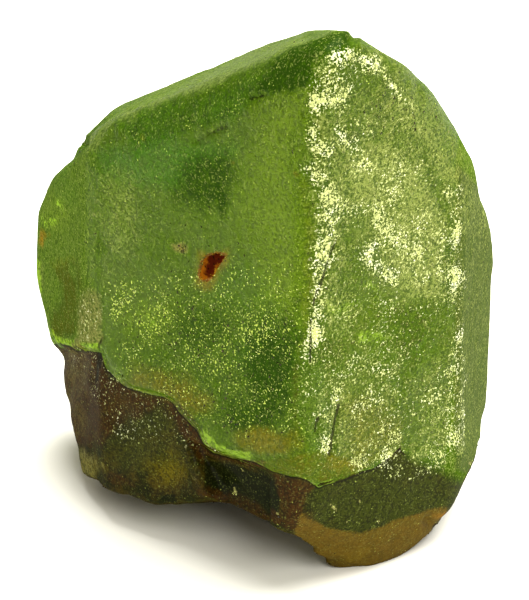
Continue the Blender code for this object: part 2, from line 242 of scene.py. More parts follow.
def shown_marks(skin):
    """The strength of each kind of mark on the side that the photograph shows."""
    blot, blots, patch, stroke = skin.blot, skin.blots, skin.patch, skin.stroke
    return {
        # Painted glow: yellow-green light coming through the crystal from within, painted into its
        # colour.
        "glow": 0.95 * patch(
            (262, 100), (308, 92), (306, 290), (290, 330), (262, 300), (246, 215), fade=45,
        )
        + blots(
            (0.15, 215, 235, 60, 40), (0.55, 153, 322, 44, 26), (0.45, 120, 205, 26, 50),
            (0.4, 435, 425, 26, 45), (0.3, 385, 320, 60, 60), (0.5, 56, 215, 14, 26),
        ),
        # Painted glow in lime along thin rims: the top of the broken edge, the left outline, and a few
        # streaks.
        "lime": 0.9 * stroke(
            (205, 434), (212, 446), (228, 454), (248, 457), fade=0.6, soft=False,
        )
        + 0.7 * patch((322, 299), (353, 303), (341, 311), (324, 313))
        + 0.7 * patch((358, 328), (393, 339), (374, 346), (359, 345))
        + blots(
            (0.6, 366, 284, 14, 8), (0.7, 57, 204, 9, 12), (0.6, 50, 224, 9, 12),
            (0.45, 150, 325, 22, 14), (0.3, 420, 420, 22, 30), fade=1,
        )
        + 0.8 * stroke(
            (43, 262), (44, 300), (50, 325), (60, 339), (82, 346), (99, 347), width=5, soft=False,
        )
        + 0.25 * stroke((103, 350), (112, 368), (128, 381), (150, 387), width=5, soft=False),
        "dark": 0.6 * patch((300, 20), (352, 22), (356, 48), (312, 60), fade=10, soft=False)
        + 0.9 * patch(
            (175, 176), (188, 155), (230, 151), (241, 176), (232, 204), (200, 213), (178, 204),
            fade=34,
        )
        + 0.5 * stroke((222, 196), (229, 212))
        + 0.75 * patch(
            (296, 42), (350, 38), (352, 50), (314, 62), (308, 88), (284, 98), (262, 92), fade=14,
        )
        + 0.5 * patch((120, 122), (311, 46), (311, 88), (136, 152), fade=12)
        + blots(
            (0.6, 275, 365, 40, 62), (0.45, 250, 415, 40, 26), (0.3, 205, 330, 36, 22),
            (0.55, 103, 250, 12, 12), (0.25, 165, 250, 26, 30), (0.45, 455, 190, 16, 60),
            (0.35, 405, 330, 34, 40), (0.3, 330, 350, 22, 30),
        )
        + 0.42 * patch((112, 340), (180, 300), (300, 300), (306, 440), (215, 440), fade=34)
        + 0.7 * patch((400, 516), (446, 500), (452, 515), (410, 556), (396, 548), fade=12)
        + 0.4 * patch(*FOOT_FACE, fade=10)
        + 0.5 * patch(*TONGUE)
        + 0.8 * patch((56, 272), (79, 256), (79, 343), (60, 340), fade=14)
        + 0.35 * patch((312, 300), (455, 300), (455, 340), (400, 390), (318, 400), fade=30)
        + 0.35 * stroke((297, 130), (300, 230), (292, 300)),
        # Haze of the etched surface, and painted sheen: the grey of faces seen at a slant, on the top
        # band, the right side face and the left shoulder.
        "haze": 0.85 * patch(
            (84, 146), (120, 114), (200, 72), (311, 33), (311, 46), (120, 121), (92, 148), fade=6,
        )
        + 0.35 * patch(
            (460, 170), (495, 225), (492, 400), (470, 470), (456, 440), (462, 300),
            fade=7, soft=False,
        )
        + 0.45 * patch(
            (360, 40), (402, 60), (462, 140), (500, 240), (456, 230), (418, 130), (372, 66), fade=8,
        )
        + 0.6 * patch((350, 152), (415, 158), (440, 220), (440, 300), (390, 310), (350, 240), fade=20)
        + blots(
            (0.3, 125, 220, 30, 55), (0.45, 400, 120, 55, 50), (0.3, 345, 400, 60, 70),
            (0.3, 435, 400, 24, 60),
        )
        + 0.35 * patch((40, 170), (92, 140), (96, 345), (40, 345), fade=12, soft=False),
        "stain": 0.9 * patch(
            (60, 346), (104, 354), (112, 378), (160, 398), (150, 410), (106, 440), (82, 450),
            (66, 400), fade=12,
        )
        + patch(
            (165, 398), (181, 404), (203, 429), (205, 452), (201, 466), (188, 444), (176, 420),
            fade=6, soft=False,
        )
        + stroke((203, 447), (222, 455), (240, 460), (263, 463), width=6, soft=False)
        + patch((276, 470), (313, 482), (306, 500), (300, 535), (284, 532), (280, 500), fade=6)
        + 0.7 * patch((106, 470), (128, 478), (136, 492), (118, 490), (104, 482), fade=6)
        + 0.8 * patch(*ARCH, fade=6)
        + 0.35 * patch(*RIM_STAIN, fade=34)
        + blots((0.3, 386, 104, 14, 26), (0.5, 355, 138, 8, 6), (0.5, 438, 512, 12, 7))
        + 0.6 * stroke((292, 508), (302, 532), (320, 548)),
        "honey": blots(
            (1.2, 260, 440, 42, 22), (0.7, 288, 446, 34, 18), (0.45, 172, 470, 44, 36),
            (0.55, 94, 466, 16, 28), fade=1,
        )
        + 0.9 * patch(*RIM_STAIN, fade=34)
        + 0.45 * patch((56, 262), (79, 250), (79, 341), (60, 337), fade=14)
        + 0.22 * patch((110, 400), (180, 406), (190, 470), (150, 496), (104, 470), fade=24)
        + 0.3 * patch((345, 395), (380, 400), (400, 420), (395, 445), (370, 468), (345, 462), fade=24)
        + 0.3 * patch(
            (312, 80), (352, 42), (404, 54), (462, 150), (460, 240), (460, 445), (330, 470),
            (310, 300), fade=10, soft=False,
        )
        + 0.35 * patch((302, 180), (312, 180), (308, 330), (300, 440), (290, 440), (296, 300), fade=10)
        + 0.5 * patch(*TONGUE, fade=6, soft=False)
        + 0.35 * patch((62, 350), (90, 352), (96, 440), (78, 440), fade=10)
        + 0.6 * blot(357, 543, 34, 9, 12),
        "moss": blots((0.5, 125, 450, 34, 28), (0.5, 150, 420, 40, 18), (0.4, 160, 440, 40, 40))
        + 0.9 * patch(*FOOT_FACE, fade=10),
        # Painted shade: near black in the hollow under the broken edge, and in two dark spots under
        # the lump.
        "hollow": patch(
            (203, 457), (232, 463), (270, 475), (282, 484), (281, 520), (203, 494),
            fade=16, soft=False,
        )
        + 0.8 * blot(177, 468, 5, 9, 10)
        + 0.8 * patch((154, 496), (176, 494), (172, 503), (152, 503), fade=5),
        "amber": patch(
            (300, 512), (324, 526), (361, 532), (376, 528), (390, 521), (424, 510), (446, 507),
            (440, 530), (400, 562), (345, 575), (290, 548), fade=16, soft=False,
        ),
        # Painted sheen: pale highlights on slanted facets of the left shoulder, the lump's left side
        # and the toe, and one pale spot by the rusty inclusion.
        "facet": patch((79, 282), (92, 280), (104, 292), (103, 344), (79, 343), fade=14, soft=False)
        * ramp(262, 318, skin.soft_y)
        + 0.5 * patch((42, 262), (50, 256), (52, 288), (43, 294), fade=12, soft=False)
        + 0.7 * stroke((78, 350), (79, 378), width=6, fade=0.8)
        + 0.9 * blot(182, 247, 15, 15, fade=0.9)
        + 0.75 * blot(90, 466, 15, 28)
        + 0.55 * patch((60, 350), (92, 352), (96, 440), (78, 440), fade=12),
        "rust": patch(*RUST_LEAF, fade=16, soft=False) + 0.5 * blot(182, 247, 5, 5, fade=0.9),
        "ochre": blots(
            (0.6, 48, 237, 10, 12), (0.5, 300, 178, 5, 7), (0.3, 98, 367, 6, 12),
            (0.5, 237, 165, 5, 5), (0.5, 440, 512, 16, 9, -20), (0.4, 145, 136, 6, 5), fade=1,
        )
        + 0.3 * blot(182, 247, 13, 13, fade=0.8)
        + 0.5 * patch((196, 246), (234, 246), (226, 268), (210, 290), (192, 290), fade=16),
        "veil": 0.85 * patch(
            (350, 152), (386, 146), (415, 158), (428, 186), (441, 240), (444, 300), (408, 300),
            (376, 240), (350, 200), fade=26,
        )
        + 0.3 * patch(
            (345, 95), (400, 90), (455, 160), (458, 300), (440, 300), (420, 160), (360, 150),
            fade=26,
        )
        + 0.55 * patch((312, 60), (345, 60), (350, 330), (310, 330), fade=24)
        + 0.42 * patch(
            (345, 395), (380, 400), (400, 420), (395, 445), (370, 468), (345, 462), (312, 430),
            (320, 405), fade=22,
        )
        + 0.25 * patch((320, 335), (400, 350), (400, 400), (320, 400), fade=26)
        + 0.36 * patch((412, 380), (455, 340), (455, 447), (414, 447), fade=22)
        + 0.45 * patch((380, 446), (455, 446), (455, 474), (385, 472), fade=12)
        + 0.22 * patch(
            (352, 44), (404, 56), (466, 150), (500, 236), (462, 236), (430, 160), (380, 96),
            fade=10, soft=False,
        )
        + 0.17 * patch((312, 60), (380, 50), (458, 150), (458, 450), (320, 470), (306, 300), fade=14)
        + 0.22 * patch((460, 180), (500, 225), (500, 400), (478, 470), (458, 450), fade=12)
        + 0.35 * patch((96, 165), (150, 160), (140, 280), (100, 290), fade=30),
        # The right side face: darker olive and a little glossier.
        "strip": patch(
            (456, 165), (505, 215), (505, 400), (485, 484), (452, 468), (453, 380),
            fade=5, soft=False,
        ),
        "leaf": 0.9 * patch((96, 150), (170, 138), (240, 150), (180, 190), (110, 185), fade=30)
        + 0.5 * patch((120, 122), (311, 60), (311, 88), (136, 152), fade=14)
        + blots(
            (0.5, 270, 350, 50, 60), (0.4, 240, 290, 60, 40), (0.4, 70, 190, 20, 30),
            (0.3, 400, 345, 50, 40),
        ),
        "lip": stroke(*LEDGE, width=12, fade=0.5, soft=False),
        "frost": frost(skin),
        "side": patch((456, 120), (520, 120), (520, 480), (444, 480), (455, 300), soft=False)
        + patch((20, 110), (84, 128), (92, 150), (92, 345), (20, 345), fade=28, soft=False)
        + patch((40, 345), (106, 352), (104, 500), (40, 500), soft=False),
        # Painted glints: bright dots that stand in for sparkle.
        "glint": 0.45 * patch(
            (92, 290), (180, 270), (300, 262), (306, 440), (215, 436), (112, 362), fade=24,
        )
        + blots(
            (0.55, 153, 322, 34, 18), (0.5, 215, 362, 30, 14, -12), (0.5, 258, 330, 22, 26),
            (0.4, 120, 300, 22, 30), (0.75, 235, 101, 16, 8, 20), (0.75, 189, 122, 13, 8, 20),
            (0.75, 137, 138, 13, 6, 10), (0.35, 330, 50, 26, 12), (0.35, 150, 402, 30, 9, -20),
            (0.3, 97, 370, 10, 22),
        )
        + 0.12,
        "specks": 0.7 * stroke((286, 152), (297, 150), width=6)
        + 0.9 * stroke((307, 165), (311, 158), width=4)
        + blots(
            (0.9, 312, 209, 6, 5), (0.8, 229, 430, 12, 10), (0.2, 200, 240, 60, 50),
            (0.3, 400, 110, 60, 60),
        )
        + 0.9 * stroke((225, 422), (236, 426), width=4)
        + 0.3 * patch((120, 300), (300, 300), (300, 440), (215, 440), (112, 362), fade=20)
        + 1.7 * blot(183, 248, 8, 8, fade=0.5)
        + 0.3 * patch(*ARCH, fade=6)
        + 0.06,
        "crumbs": blots(
            (0.9, 292, 380, 5, 3), (0.8, 233, 488, 2.6, 2.6), (0.8, 239, 467, 2.4, 2.4),
            (0.9, 276, 515, 3, 3), (0.8, 349, 521, 2.4, 2.4), (0.8, 376, 516, 2.4, 2.4),
            (0.8, 362, 504, 2.5, 2.5), (0.6, 470, 460, 4, 5), (0.8, 451, 140, 3, 4),
            (0.5, 282, 477, 5, 4),
        )
        + 0.7 * stroke((331, 505), (336, 510), width=2.4, soft=False)
        + 0.38 * stroke((178, 427), (186, 444), (197, 465), (202, 480), width=4),
    }


def frost(skin):
    """The pale crust on the right front face: an arc at the top, a strip down, and patches."""
    blots, patch, stroke = skin.blots, skin.patch, skin.stroke
    return (
        1.15 * stroke(
            (312, 104), (316, 84), (328, 68), (344, 59), (360, 62), (374, 68), width=15, fade=1,
        )
        + 0.9 * stroke((374, 68), (388, 78), (398, 88), width=13, fade=1)
        + 0.8 * patch((314, 76), (345, 64), (356, 90), (345, 108), (314, 118), fade=16)
        + 1.3 * stroke((315, 128), (317, 142), (330, 150), width=9, fade=0.9)
        + 0.9 * stroke((337, 126), (348, 138), (356, 148), width=12, fade=1)
        + 0.8 * stroke((352, 126), (372, 131), width=7, fade=1)
        + 0.45 * stroke((402, 96), (412, 104), width=9, fade=1)
        + 1.3 * stroke((320, 172), (330, 192), (332, 212), (326, 240), (322, 262), width=19, fade=1)
        + 0.75 * stroke((322, 262), (314, 296), (312, 330), width=14, fade=1)
        + 0.45 * stroke((308, 330), (308, 400), width=12)
        + 0.28 * patch(
            (360, 160), (386, 149), (412, 160), (424, 186), (440, 250), (445, 300), (408, 300),
            (372, 240), fade=16,
        )
        + 0.35 * stroke((362, 166), (386, 150), (412, 160), (426, 186), (440, 240), width=10, fade=1)
        + 0.95 * stroke((374, 216), (392, 236), (408, 250), (420, 276), width=13, fade=1)
        + blots(
            (0.6, 355, 206, 16, 14), (0.75, 366, 250, 16, 10, -10), (0.6, 306, 420, 8, 14),
            (0.6, 378, 370, 12, 9), (0.25, 98, 368, 8, 20),
        )
        + 0.75 * stroke((364, 262), (392, 276), width=12, fade=1)
        + 0.6 * stroke((454, 190), (456, 300), (454, 400), (450, 446), width=9)
        + 0.5 * stroke((444, 250), (448, 300), width=14)
        + 0.2 * patch(
            (352, 393), (379, 401), (396, 414), (397, 430), (383, 460), (366, 465), (350, 460),
            (338, 440), fade=20,
        )
        + 0.4 * stroke((398, 432), (383, 459), (366, 465), (348, 457), width=9, fade=1)
        + 0.55 * stroke((334, 405), (320, 425), (330, 444), width=15, fade=1)
        + 0.25 * patch((330, 340), (400, 350), (404, 400), (330, 400), fade=24)
        + 0.2 * patch((416, 392), (454, 350), (452, 447), (420, 446), fade=16)
        + 0.34 * patch((380, 452), (400, 446), (452, 446), (452, 470), (400, 476), (380, 470))
        + 0.2 * patch((80, 292), (102, 292), (101, 344), (80, 344), fade=14)
        + 0.2 * patch((312, 100), (420, 100), (452, 200), (452, 440), (320, 470), (306, 300), fade=20)
        + 0.15 * patch((62, 350), (104, 356), (176, 404), (206, 446), (120, 440), fade=14)
    )


def hidden_marks(skin):
    """The strength of each kind of mark on the sides that the photograph doesn't show."""
    z = skin.points[:, 2]
    wide = clouds(skin.points, 9, 11)
    mid = clouds(skin.points, 4, 12)
    other = clouds(skin.points, 5, 13)
    low = ramp(9, 3, z + 2 * mid)
    roof = ramp(0.25, 0.6, skin.normals[:, 2])
    nothing = np.zeros(len(z))
    return {
        # Painted glow of light from within, less of it near the bottom.
        "glow": 0.55 * ramp(-0.1, 0.8, wide) * (1 - low),
        # Painted lime glow in scattered spots.
        "lime": 0.5 * ramp(0.7, 1.1, mid) * (1 - low),
        "dark": 0.7 * ramp(0.0, 0.9, mid) + 0.3 * low,
        # Haze, and painted sheen on faces that look upward.
        "haze": 0.45 * ramp(-0.4, 0.6, other) + 0.35 * roof,
        "stain": 0.9 * low * ramp(-0.5, 0.5, other),
        "honey": 0.5 * low * ramp(0.5, -0.4, other),
        "moss": 0.6 * low * ramp(0.4, -0.6, wide),
        # Painted shade in hollows near the floor.
        "hollow": 0.6 * ramp(3, 0.5, z) * ramp(0, 0.8, mid),
        "amber": 0.5 * ramp(0.1, 0.5, wide) * low,
        "facet": nothing,
        "side": np.full(len(z), 0.5),
        "rust": 0.6 * ramp(1.15, 1.5, mid + 0.4 * other),
        "ochre": 0.7 * ramp(0.9, 1.4, mid + 0.4 * other),
        "veil": 0.6 * ramp(-0.2, 0.8, other) * (1 - low),
        "strip": nothing,
        "leaf": 0.6 * ramp(-0.2, 0.8, mid),
        "lip": nothing,
        "frost": 0.85 * ramp(0.15, 0.9, mid + 0.5 * other) * (1 - low) * ramp(0.0, -0.3, skin.facing),
        # Painted glints.
        "glint": 0.15 + 0.4 * ramp(0, 0.8, wide) * ramp(0.0, -0.3, skin.facing),
        "specks": 0.1 + 0.3 * ramp(0, 0.8, other),
        "crumbs": 0.6 * ramp(1.2, 1.5, other) * low,
    }


def rounding(skin):
    """How far the corners are worn round: the foot most, then the apex and the left shoulder."""
    foot = skin.patch(
        (292, 505), (330, 518), (400, 515), (470, 490), (470, 600), (270, 600), (282, 520), fade=16
    )
    apex = skin.blot(345, 45, 40, 16)
    shoulder = skin.patch((30, 170), (62, 170), (62, 330), (30, 330), fade=12)
    return np.clip(0.12 + 0.8 * foot + 0.6 * apex + 0.5 * shoulder, 0, 1)


def dents(skin):
    """How deep the surface lies at the notches in the outline, and below 0 where it swells out.

    Both are at the outline, so they are on the points that face the camera least and just behind.
    """
    bulge = (
        skin.blots(
            (0.75, 54, 176, 34, 44, 20), (0.95, 480, 462, 36, 56), (0.85, 362, 562, 84, 40),
            (0.25, 402, 66, 26, 20), (-0.3, 305, 34, 60, 18), fade=1, soft=False,
        )
        + 0.45 * skin.stroke((44, 215), (44, 275), (50, 328), width=22, fade=1, soft=False)
        + 0.35 * skin.stroke((486, 215), (484, 400), width=22, fade=1, soft=False)
        + 0.35 * skin.stroke((68, 375), (76, 410), (82, 476), width=18, fade=1, soft=False)
    )
    notches = skin.blots((0.6, 84, 143, 8, 7), (0.6, 352, 38, 9, 8), fade=0.9, soft=False)
    notches += skin.blots((0.8, 473, 465, 9, 7), (0.6, 428, 522, 9, 8), fade=0.8, soft=False)
    edge = ramp(-0.35, 0.0, skin.facing)
    return edge * np.clip(notches, 0, 1) - edge * bulge


def marks(skin):
    """The strength of each kind of mark at each point, from 0 to 1, and the rounding and dents."""
    painted, hidden = shown_marks(skin), hidden_marks(skin)
    shown = skin.shown
    found = {
        name: np.clip(painted[name] * shown + hidden[name] * (1 - shown), 0, 1) for name in painted
    }
    found["frost"] *= np.clip(0.8 + 0.5 * clouds(skin.points, 1.5, 21), 0.2, 1.3)
    found["under"] = np.clip(under_ledge(skin) / REACH, -1, 1) / 2 + 0.5
    nearest = np.min([skin.distance(line, False, False) for line in CRACKS], axis=0)
    wander = 0.72 * clouds(skin.points, 1.2, 31)
    found["crack"] = ramp(CRACK_REACH, 0, nearest + wander) * shown
    found["round"] = rounding(skin)
    found["dent"] = dents(skin)
    return found


class Value:
    """A socket in a node tree. Sums, products and powers of values add their Math nodes."""

    def __init__(self, graph, socket):
        self.graph = graph
        self.socket = socket

    def math(self, operation, *values):
        return self.graph.add("ShaderNodeMath", {"operation": operation}, dict(enumerate(values)))

    def __add__(self, other):
        return self.math("ADD", self, other)

    def __sub__(self, other):
        return self.math("SUBTRACT", self, other)

    def __rsub__(self, other):
        return self.math("SUBTRACT", other, self)

    def __mul__(self, other):
        return self.math("MULTIPLY", self, other)

    def __pow__(self, other):
        return self.math("POWER", self, other)

    __radd__ = __add__
    __rmul__ = __mul__

    def step(self, low, high):
        """0 below low, 1 above high, and smooth between them. Low and high may be values."""
        settings = {"interpolation_type": "SMOOTHSTEP"}
        sockets = {"Value": self, "From Min": low, "From Max": high}
        return self.graph.add("ShaderNodeMapRange", settings, sockets)


class Graph:
    """A node tree under construction."""

    def __init__(self, tree):
        self.tree = tree

    def put(self, kind, settings=None, sockets=None):
        node = self.tree.nodes.new(kind)
        for name, value in (settings or {}).items():
            setattr(node, name, value)
        for name, value in (sockets or {}).items():
            socket = node.inputs[name]
            if isinstance(value, Value):
                self.tree.links.new(value.socket, socket)
            elif isinstance(value, bpy.types.NodeSocket):
                self.tree.links.new(value, socket)
            else:
                socket.default_value = value
        return node

    def add(self, kind, settings=None, sockets=None, output=0):
        return Value(self, self.put(kind, settings, sockets).outputs[output])

    def mix(self, amount, first, second):
        return self.add("ShaderNodeMix", {"data_type": "RGBA"}, {0: amount, 6: first, 7: second}, 2)

    def noise(self, place, scale, detail=2, rough=0.5, warp=0.0):
        sockets = {"Vector": place, "Scale": scale, "Detail": detail, "Roughness": rough}
        return self.add("ShaderNodeTexNoise", {}, {**sockets, "Distortion": warp})


def srgb(red, green, blue):
    """A colour from its 0 to 255 screen values."""
    parts = [c / 255 for c in (red, green, blue)]
    return tuple(((c + 0.055) / 1.055) ** 2.4 if c > 0.04 else c / 12.92 for c in parts) + (1.0,)


GREEN = srgb(70, 99, 4)
LEAF = srgb(58, 106, 12)
YELLOW_GREEN = srgb(98, 126, 12)
LIME = srgb(138, 176, 44)
DEEP_GREEN = srgb(34, 58, 6)
GREY_GREEN = srgb(110, 126, 60)
OLIVE = srgb(68, 78, 26)
PALE = srgb(150, 163, 84)
BASE_BROWN = srgb(54, 45, 8)
MOSS = srgb(46, 53, 8)
BROWN = srgb(56, 32, 6)
HONEY = srgb(108, 98, 8)
AMBER = srgb(92, 72, 16)
FOOT_GREEN = srgb(25, 29, 3)
BLACK_GREEN = srgb(14, 20, 4)
RUST = srgb(132, 86, 36)
DARK_RUST = srgb(88, 52, 18)
MAROON = srgb(54, 14, 4)
ORANGE = srgb(118, 66, 8)
STRAW = srgb(128, 96, 20)
INK = srgb(16, 8, 4)
OCHRE = srgb(156, 104, 8)
SILVER = srgb(118, 116, 66)
BLACK = srgb(18, 18, 4)
PEPPER = srgb(46, 52, 10)
FROST = srgb(238, 242, 200)
OLD_FROST = srgb(184, 193, 124)
YELLOW_FROST = srgb(204, 214, 130)
GLINT = srgb(182, 198, 92)
PALE_GLINT = srgb(216, 226, 140)
BROWN_BLACK = srgb(44, 30, 12)

# The see-through body: its tints at the surface, and what it absorbs on the way (per metre).
CLEAR = (0.92, 1.0, 0.66, 1)
GLOWING = (1, 1, 0.5, 1)
DARKENED = (0.22, 0.34, 0.1, 1)
STAINED = (0.16, 0.11, 0.03, 1)
SHINE = (0.5, 0.62, 0.15, 1)
ABSORPTION = (0.8, 0.855, 0.0, 1)
DENSITY = 600
OLIVINE_IOR = 1.67

# The marks that the materials read. Green of the clear faces: the painted glow of light from within,
# leaf, the lime glow painted along thin rims and streaks, and dark. Dust on them: haze with painted
# sheen, and veil. The darker olive of the right side face: strip. Faces seen at a slant, where little
# of the see-through body shows: side. The core below the broken edge: under, moss, the painted shade
# of the
# hollow, amber, and its seam, lip. Stains: stain, honey, ochre, rust. Painted sheen on slanted facets,
# and a pale spot. Crust and grains: frost, specks, crumbs. Painted glints: glint. Open cracks: crack.
MARKS = (
    "glow", "lime", "dark", "haze", "stain", "honey", "moss", "hollow", "amber", "facet", "rust",
    "frost", "glint", "specks", "crumbs", "under", "crack", "side", "ochre", "veil", "leaf", "lip",
    "strip",
)


def new_material(name):
    """An empty material, its graph, and the place that its noises are laid out by."""
    material = bpy.data.materials.new(name)
    material.use_nodes = True
    material.node_tree.nodes.clear()
    g = Graph(material.node_tree)
    return material, g, g.add("ShaderNodeTexCoord", output="Object")


def stored(g, name):
    """A mark that is stored on the surface, in a material."""
    return g.add("ShaderNodeAttribute", {"attribute_name": name}, output="Fac")


def crystal_material():
    """The etched green mineral: a coloured skin over a see-through body that absorbs light."""
    material, g, place = new_material("etched peridot")
    mark = {name: stored(g, name) for name in MARKS}
    wide = g.noise(place, 220, 3)
    patchy = g.noise(place, 650, 3, 0.6)
    mottle = g.noise(place, 1500, 3, 0.6)
    grain = g.noise(place, 4600, 2, 0.6)
    fine = g.noise(place, 9500, 1, 0.5)
    spots = g.noise(place, 3300, 2, 0.6, 0.6)
    speck = grain * 0.45 + fine * 0.55
    crackle = (grain - 0.5) * 0.1 + (fine - 0.5) * 0.06
    soft_under = mark["under"].step(0.3, 0.7)
    hard_under = (mark["under"] + crackle * 0.3).step(0.49, 0.52)
    under = soft_under + mark["lip"] * (hard_under - soft_under)

    body = g.mix((mark["leaf"] * 0.8 + (wide - 0.5) * 0.8).step(0, 1), GREEN, LEAF)

    def over(colour, amount):
        """One more layer of colour."""
        nonlocal body
        body = g.mix(amount, body, colour)

    # Painted glow: yellow-green light from within, painted into the skin's colour.
    over(YELLOW_GREEN, mark["glow"] * (0.5 + 0.9 * mottle))
    # Haze, and painted sheen of faces seen at a slant.
    over(GREY_GREEN, mark["haze"] * (0.3 + 0.9 * mottle))
    granular = (grain - 0.5) * 2.6 + (mottle - 0.5) * 1.2
    over(DEEP_GREEN, (mark["dark"] + granular * mark["dark"].step(0, 0.5)).step(0.2, 1.1))
    # Painted lime glow along thin rims and in streaks.
    mottled = (mottle - 0.5) * 1.2 * mark["lime"].step(0, 0.4)
    lime = mark["lime"] + mottled + (grain - 0.5) * 1.2
    over(LIME, lime.step(0.25, 1.0) * 0.9)
    over(OLIVE, mark["strip"] * (0.45 + 0.4 * patchy + 0.3 * mottle))
    dust = mark["veil"] * 0.75 + (speck - 0.5) * 2.2 + (mottle - 0.5) * 1.1
    over(PALE, dust.step(0.2, 0.9) * mark["veil"].step(0, 0.3) * 0.7)
    pepper = (spots * 0.7 + grain * 0.3).step(0.55, 0.64) * mark["veil"].step(0, 0.25)
    over(PEPPER, pepper * 0.5)

    core = g.mix(patchy.step(0.35, 0.65), BASE_BROWN, FOOT_GREEN)
    core = g.mix(mark["moss"] * (0.5 + mottle), core, MOSS)
    # Painted shade: near black in the hollow.
    core = g.mix((mark["hollow"] + crackle).step(0.4, 0.7) * 0.9, core, BLACK_GREEN)
    over(core, under)
    # Painted sheen: silvery highlights on slanted facets, and the pale spot.
    over(SILVER, mark["facet"].step(0.3, 0.8) * (0.2 + grain * 0.9))
    over(HONEY, (mark["honey"] * (0.5 + mottle)).step(0.1, 1.1) * 0.9)
    over(BROWN, (mark["stain"] * (0.3 + mottle + (patchy - 0.5))).step(0, 1) * 0.85)
    amber = (mark["amber"] + crackle * 2 + 0.6 * (patchy - 0.5)).step(0.34, 0.68)
    over(AMBER, amber * (0.35 + mottle * 0.8))
    over(OCHRE, (mark["ochre"] * (0.6 + 0.8 * mottle)).step(0.1, 0.9) * 0.85)
    rust = (mark["rust"] + crackle * 1.5).step(0.42, 0.6)
    over(g.mix((mottle + grain).step(0.8, 1.1), RUST, DARK_RUST), rust)

    shade = g.mix(under, DEEP_GREEN, BLACK)
    over(shade, (grain * 0.6 + fine * 0.4).step(0.55, 0.4) * (0.66 - 0.4 * amber))
    light = (fine * 0.6 + spots * 0.4).step(0.53, 0.66) * (1 - 0.7 * under)
    over(PALE, light * 0.36)
    # Painted shadow: a dark line along the step of the broken edge.
    ledge_shadow = mark["under"].step(0.5, 0.52) * mark["under"].step(0.57, 0.53) * mark["lip"]
    over(BLACK, ledge_shadow * 0.85)
    # Painted glow: a broken lime line along the top of the broken edge.
    lip = mark["under"].step(0.45, 0.485) * mark["under"].step(0.515, 0.495) * mark["lip"]
    over(LIME, lip * (patchy + mottle - 0.5).step(0.46, 0.66) * 0.3)
    over(BLACK, (spots + 0.16 * mark["specks"]).step(0.735, 0.77))

    broken = speck + 0.22 * (patchy - 0.5) + 0.2 * (mottle - 0.5)
    sparkle = g.noise(place, 7400, 1, 0.5)
    glint = fine * 0.45 + sparkle * 0.55 + 0.12 * mark["glint"] + 0.16 * (patchy - 0.5)
    glint = glint.step(0.68, 0.73) * (1 - 0.5 * under)
    crust = (broken + 0.18 * mark["frost"]).step(0.62, 0.71) * mark["frost"].step(0.02, 0.15)
    crumb = (mark["crumbs"] + crackle * 2).step(0.35, 0.55)
    # Painted glints: bright dots standing in for sparkle.
    over(GLINT, glint * 0.85)
    old = mottle.step(0.35, 0.62) + mark["veil"] * 0.5
    over(g.mix(old.step(0, 1), FROST, OLD_FROST), crust)
    over(SILVER, crumb)
    crack = (mark["crack"] + crackle * 3 + (mottle - 0.5) * 0.6).step(0.68, 0.88)
    over(BLACK, crack * 0.85)

    height = mottle * 0.7 + grain * 0.8 + fine * 0.25 + crust * 0.6
    bump = g.add("ShaderNodeBump", {}, {"Strength": 0.8, "Distance": 0.0001, "Height": height})
    # The see-through body is tinted yellower where the glow is painted.
    tint = g.mix(mark["glow"], CLEAR, GLOWING)
    tint = g.mix(mark["dark"] * 0.8, tint, DARKENED)
    tint = g.mix((mark["stain"] + under * 0.8).step(0, 1), tint, STAINED)
    clear = g.put(
        "ShaderNodeBsdfPrincipled",
        {},
        {
            "Base Color": tint,
            "Roughness": 0.26 + 0.2 * mottle,
            "IOR": OLIVINE_IOR,
            "Specular Tint": SHINE,
            "Transmission Weight": 1.0,
            "Normal": bump,
        },
    )
    skin = g.put(
        "ShaderNodeBsdfPrincipled",
        {},
        {
            "Base Color": body,
            "Roughness": 0.5 + 0.3 * mottle - 0.15 * under,
            "Specular IOR Level": 0.0,
            "Coat Weight": 0.03 + 0.05 * under + 0.05 * mark["strip"] - 0.018 * mark["side"],
            "Coat Roughness": 0.3,
            "Normal": bump,
        },
    )
    # How much of the surface is skin. The rest of it shows the see-through body.
    solid = 0.7 + 0.3 * crust + 0.3 * glint + 0.12 * mark["haze"] + 0.3 * under
    solid = solid + 0.2 * mark["facet"] + 0.32 * mark["side"] + 0.3 * mark["dark"] + 0.3 * rust
    share = g.add("ShaderNodeClamp", {}, {"Value": solid, "Max": 1.0})
    surface = g.add("ShaderNodeMixShader", {}, {0: share, 1: clear.outputs[0], 2: skin.outputs[0]})
    depth = g.put("ShaderNodeVolumeAbsorption", {}, {"Color": ABSORPTION, "Density": DENSITY})
    out = g.put("ShaderNodeOutputMaterial", {}, {"Surface": surface})
    g.tree.links.new(depth.outputs[0], out.inputs["Volume"])
    return material


def grain_material(name, first, second, roughness):
    """The finish of small grains: two colours, mixed by noise."""
    material, g, place = new_material(name)
    mottle = g.noise(place, 2400, 2, 0.6)
    fine = g.noise(place, 9000, 1)
    bump = g.add("ShaderNodeBump", {}, {"Strength": 0.4, "Distance": 0.00004, "Height": fine})
    sockets = {
        "Base Color": g.mix(mottle.step(0.38, 0.62), first, second),
        "Roughness": roughness + 0.2 * fine,
        "Specular IOR Level": 0.3,
        "Normal": bump,
    }
    shader = g.put("ShaderNodeBsdfPrincipled", {}, sockets)
    g.put("ShaderNodeOutputMaterial", {}, {"Surface": shader.outputs[0]})
    return material


